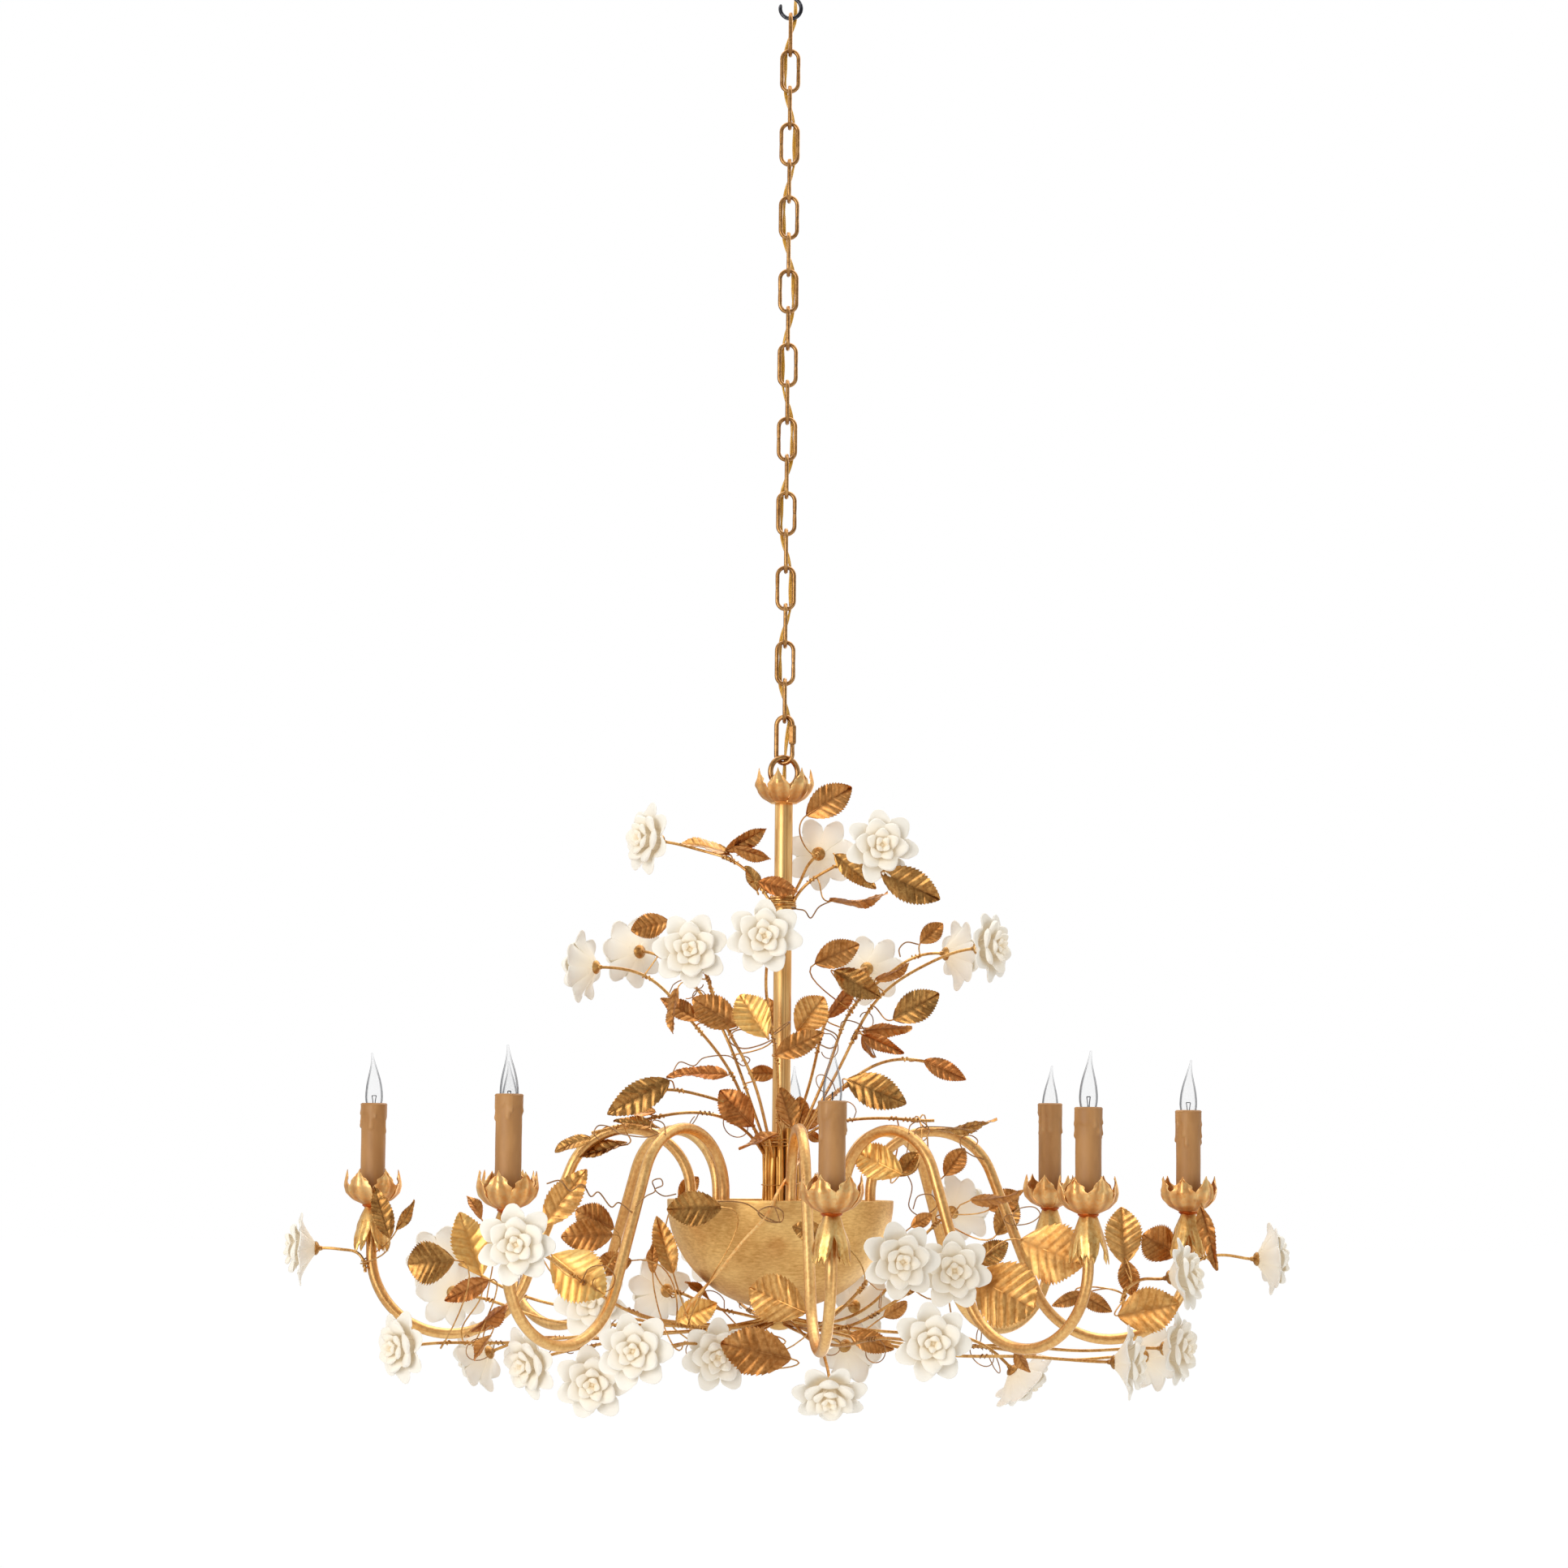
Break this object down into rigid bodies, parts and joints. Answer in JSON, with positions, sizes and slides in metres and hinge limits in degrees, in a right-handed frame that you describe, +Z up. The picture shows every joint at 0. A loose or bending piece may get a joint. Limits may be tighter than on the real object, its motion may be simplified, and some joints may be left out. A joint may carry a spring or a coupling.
{
  "type": "chandelier",
  "caption": "Candle-lamp chandelier with bent tubular arms round a gilt bowl, wreathed in porcelain blossoms and pressed leaves on wire stems, hung on a link chain from a ceiling hook.",
  "frame": {"origin": "middle of the ceiling hook's top face, against the ceiling", "axes": "+Z up out of the ceiling face, +X to the viewer's right, -Y towards the viewer"},
  "size_m": [0.9887, 0.8539, 1.4387],
  "materials": {
    "dark_steel": "dark blued steel, satin",
    "bronzed_steel": "bronze-gold plate, worn",
    "gilt": "aged gilt, mottled",
    "wax": "wax-coated card, tan",
    "lamp_glass": "clear glass over a brass cap",
    "porcelain": "ivory glaze, with gilt wire and leaves",
    "cord": "translucent gold cord"
  },
  "bodies": {
    "ceiling": {"ceiling_hook": "dark_steel", "supply_cord": "cord"},
    "link_01": {"chain_link_01": "bronzed_steel"},
    "link_02": {"chain_link_02": "bronzed_steel"},
    "link_03": {"chain_link_03": "bronzed_steel"},
    "link_04": {"chain_link_04": "bronzed_steel"},
    "link_05": {"chain_link_05": "bronzed_steel"},
    "link_06": {"chain_link_06": "bronzed_steel"},
    "link_07": {"chain_link_07": "bronzed_steel"},
    "link_08": {"chain_link_08": "bronzed_steel"},
    "link_09": {"chain_link_09": "bronzed_steel"},
    "link_10": {"chain_link_10": "bronzed_steel"},
    "link_11": {"chain_link_11": "bronzed_steel"},
    "link_12": {"chain_link_12": "bronzed_steel"},
    "link_13": {"chain_link_13": "bronzed_steel"},
    "link_14": {"chain_link_14": "bronzed_steel"},
    "link_15": {"chain_link_15": "bronzed_steel"},
    "link_16": {"chain_link_16": "bronzed_steel"},
    "link_17": {"chain_link_17": "bronzed_steel"},
    "link_18": {"chain_link_18": "bronzed_steel"},
    "link_19": {"chain_link_19": "bronzed_steel"},
    "quick_link": {"quick_link": "bronzed_steel"},
    "quick_nut": {"quick_link_nut": "bronzed_steel"},
    "fixture": {"hanging_loop": "gilt", "top_cup": "gilt", "stem_tube": "gilt", "bowl": "gilt", "arm_1": "gilt", "arm_2": "gilt", "arm_3": "gilt", "arm_4": "gilt", "arm_5": "gilt", "arm_6": "gilt", "arm_7": "gilt", "arm_8": "gilt", "crown_spray": "porcelain", "middle_spray": "porcelain", "low_spray_left": "porcelain", "low_spray_left_front": "porcelain", "low_spray_front": "porcelain", "low_spray_front_right": "porcelain", "low_spray_right_front": "porcelain", "low_spray_right": "porcelain", "low_spray_back": "porcelain"},
    "sleeve_1": {"candle_sleeve_1": "wax"},
    "bulb_1": {"bulb_1": "lamp_glass"},
    "sleeve_2": {"candle_sleeve_2": "wax"},
    "bulb_2": {"bulb_2": "lamp_glass"},
    "sleeve_3": {"candle_sleeve_3": "wax"},
    "bulb_3": {"bulb_3": "lamp_glass"},
    "sleeve_4": {"candle_sleeve_4": "wax"},
    "bulb_4": {"bulb_4": "lamp_glass"},
    "sleeve_5": {"candle_sleeve_5": "wax"},
    "bulb_5": {"bulb_5": "lamp_glass"},
    "sleeve_6": {"candle_sleeve_6": "wax"},
    "bulb_6": {"bulb_6": "lamp_glass"},
    "sleeve_7": {"candle_sleeve_7": "wax"},
    "bulb_7": {"bulb_7": "lamp_glass"},
    "sleeve_8": {"candle_sleeve_8": "wax"},
    "bulb_8": {"bulb_8": "lamp_glass"}
  },
  "joints": [
    {"name": "link_01_swing", "type": "hinge", "parent": "ceiling", "child": "link_01", "pos_m": [0, 0, -0.046], "axis": [1, 0, 0], "range_deg": [-5, 5], "deforming": ["supply_cord"]},
    {"name": "link_02_swing", "type": "hinge", "parent": "link_01", "child": "link_02", "pos_m": [0, 0, -0.08355], "axis": [0, 1, 0], "range_deg": [-5, 5]},
    {"name": "link_03_swing", "type": "hinge", "parent": "link_02", "child": "link_03", "pos_m": [0, 0, -0.12105], "axis": [1, 0, 0], "range_deg": [-5, 5]},
    {"name": "link_04_swing", "type": "hinge", "parent": "link_03", "child": "link_04", "pos_m": [0, 0, -0.15855], "axis": [0, 1, 0], "range_deg": [-5, 5]},
    {"name": "link_05_swing", "type": "hinge", "parent": "link_04", "child": "link_05", "pos_m": [0, 0, -0.19605], "axis": [1, 0, 0], "range_deg": [-5, 5]},
    {"name": "link_06_swing", "type": "hinge", "parent": "link_05", "child": "link_06", "pos_m": [0, 0, -0.23355], "axis": [0, 1, 0], "range_deg": [-5, 5]},
    {"name": "link_07_swing", "type": "hinge", "parent": "link_06", "child": "link_07", "pos_m": [0, 0, -0.27105], "axis": [1, 0, 0], "range_deg": [-5, 5]},
    {"name": "link_08_swing", "type": "hinge", "parent": "link_07", "child": "link_08", "pos_m": [0, 0, -0.30855], "axis": [0, 1, 0], "range_deg": [-5, 5]},
    {"name": "link_09_swing", "type": "hinge", "parent": "link_08", "child": "link_09", "pos_m": [0, 0, -0.34605], "axis": [1, 0, 0], "range_deg": [-5, 5]},
    {"name": "link_10_swing", "type": "hinge", "parent": "link_09", "child": "link_10", "pos_m": [0, 0, -0.38355], "axis": [0, 1, 0], "range_deg": [-5, 5]},
    {"name": "link_11_swing", "type": "hinge", "parent": "link_10", "child": "link_11", "pos_m": [0, 0, -0.42105], "axis": [1, 0, 0], "range_deg": [-5, 5]},
    {"name": "link_12_swing", "type": "hinge", "parent": "link_11", "child": "link_12", "pos_m": [0, 0, -0.45855], "axis": [0, 1, 0], "range_deg": [-5, 5]},
    {"name": "link_13_swing", "type": "hinge", "parent": "link_12", "child": "link_13", "pos_m": [0, 0, -0.49605], "axis": [1, 0, 0], "range_deg": [-5, 5]},
    {"name": "link_14_swing", "type": "hinge", "parent": "link_13", "child": "link_14", "pos_m": [0, 0, -0.53355], "axis": [0, 1, 0], "range_deg": [-5, 5]},
    {"name": "link_15_swing", "type": "hinge", "parent": "link_14", "child": "link_15", "pos_m": [0, 0, -0.57105], "axis": [1, 0, 0], "range_deg": [-5, 5]},
    {"name": "link_16_swing", "type": "hinge", "parent": "link_15", "child": "link_16", "pos_m": [0, 0, -0.60855], "axis": [0, 1, 0], "range_deg": [-5, 5]},
    {"name": "link_17_swing", "type": "hinge", "parent": "link_16", "child": "link_17", "pos_m": [0, 0, -0.64605], "axis": [1, 0, 0], "range_deg": [-5, 5]},
    {"name": "link_18_swing", "type": "hinge", "parent": "link_17", "child": "link_18", "pos_m": [0, 0, -0.68355], "axis": [0, 1, 0], "range_deg": [-5, 5]},
    {"name": "link_19_swing", "type": "hinge", "parent": "link_18", "child": "link_19", "pos_m": [0, 0, -0.72105], "axis": [1, 0, 0], "range_deg": [-5, 5]},
    {"name": "quick_link_swing", "type": "hinge", "parent": "link_19", "child": "quick_link", "pos_m": [0, 0, -0.75855], "axis": [0, 1, 0], "range_deg": [-5, 5]},
    {"name": "quick_nut_screw", "type": "slide", "parent": "quick_link", "child": "quick_nut", "axis": [0, 0, 1], "range_m": [-0.01, 0]},
    {"name": "fixture_swing", "type": "hinge", "parent": "quick_link", "child": "fixture", "pos_m": [0, 0, -0.7999], "axis": [0.9063, -0.4226, 0], "range_deg": [-5, 5]},
    {"name": "sleeve_1_lift", "type": "slide", "parent": "fixture", "child": "sleeve_1", "axis": [0, 0, 1], "range_m": [0, 0.14]},
    {"name": "bulb_1_lift", "type": "slide", "parent": "fixture", "child": "bulb_1", "axis": [0, 0, 1], "range_m": [0, 0.035]},
    {"name": "sleeve_2_lift", "type": "slide", "parent": "fixture", "child": "sleeve_2", "axis": [0, 0, 1], "range_m": [0, 0.14]},
    {"name": "bulb_2_lift", "type": "slide", "parent": "fixture", "child": "bulb_2", "axis": [0, 0, 1], "range_m": [0, 0.035]},
    {"name": "sleeve_3_lift", "type": "slide", "parent": "fixture", "child": "sleeve_3", "axis": [0, 0, 1], "range_m": [0, 0.14]},
    {"name": "bulb_3_lift", "type": "slide", "parent": "fixture", "child": "bulb_3", "axis": [0, 0, 1], "range_m": [0, 0.035]},
    {"name": "sleeve_4_lift", "type": "slide", "parent": "fixture", "child": "sleeve_4", "axis": [0, 0, 1], "range_m": [0, 0.14]},
    {"name": "bulb_4_lift", "type": "slide", "parent": "fixture", "child": "bulb_4", "axis": [0, 0, 1], "range_m": [0, 0.035]},
    {"name": "sleeve_5_lift", "type": "slide", "parent": "fixture", "child": "sleeve_5", "axis": [0, 0, 1], "range_m": [0, 0.14]},
    {"name": "bulb_5_lift", "type": "slide", "parent": "fixture", "child": "bulb_5", "axis": [0, 0, 1], "range_m": [0, 0.035]},
    {"name": "sleeve_6_lift", "type": "slide", "parent": "fixture", "child": "sleeve_6", "axis": [0, 0, 1], "range_m": [0, 0.14]},
    {"name": "bulb_6_lift", "type": "slide", "parent": "fixture", "child": "bulb_6", "axis": [0, 0, 1], "range_m": [0, 0.035]},
    {"name": "sleeve_7_lift", "type": "slide", "parent": "fixture", "child": "sleeve_7", "axis": [0, 0, 1], "range_m": [0, 0.14]},
    {"name": "bulb_7_lift", "type": "slide", "parent": "fixture", "child": "bulb_7", "axis": [0, 0, 1], "range_m": [0, 0.035]},
    {"name": "sleeve_8_lift", "type": "slide", "parent": "fixture", "child": "sleeve_8", "axis": [0, 0, 1], "range_m": [0, 0.14]},
    {"name": "bulb_8_lift", "type": "slide", "parent": "fixture", "child": "bulb_8", "axis": [0, 0, 1], "range_m": [0, 0.035]}
  ]
}
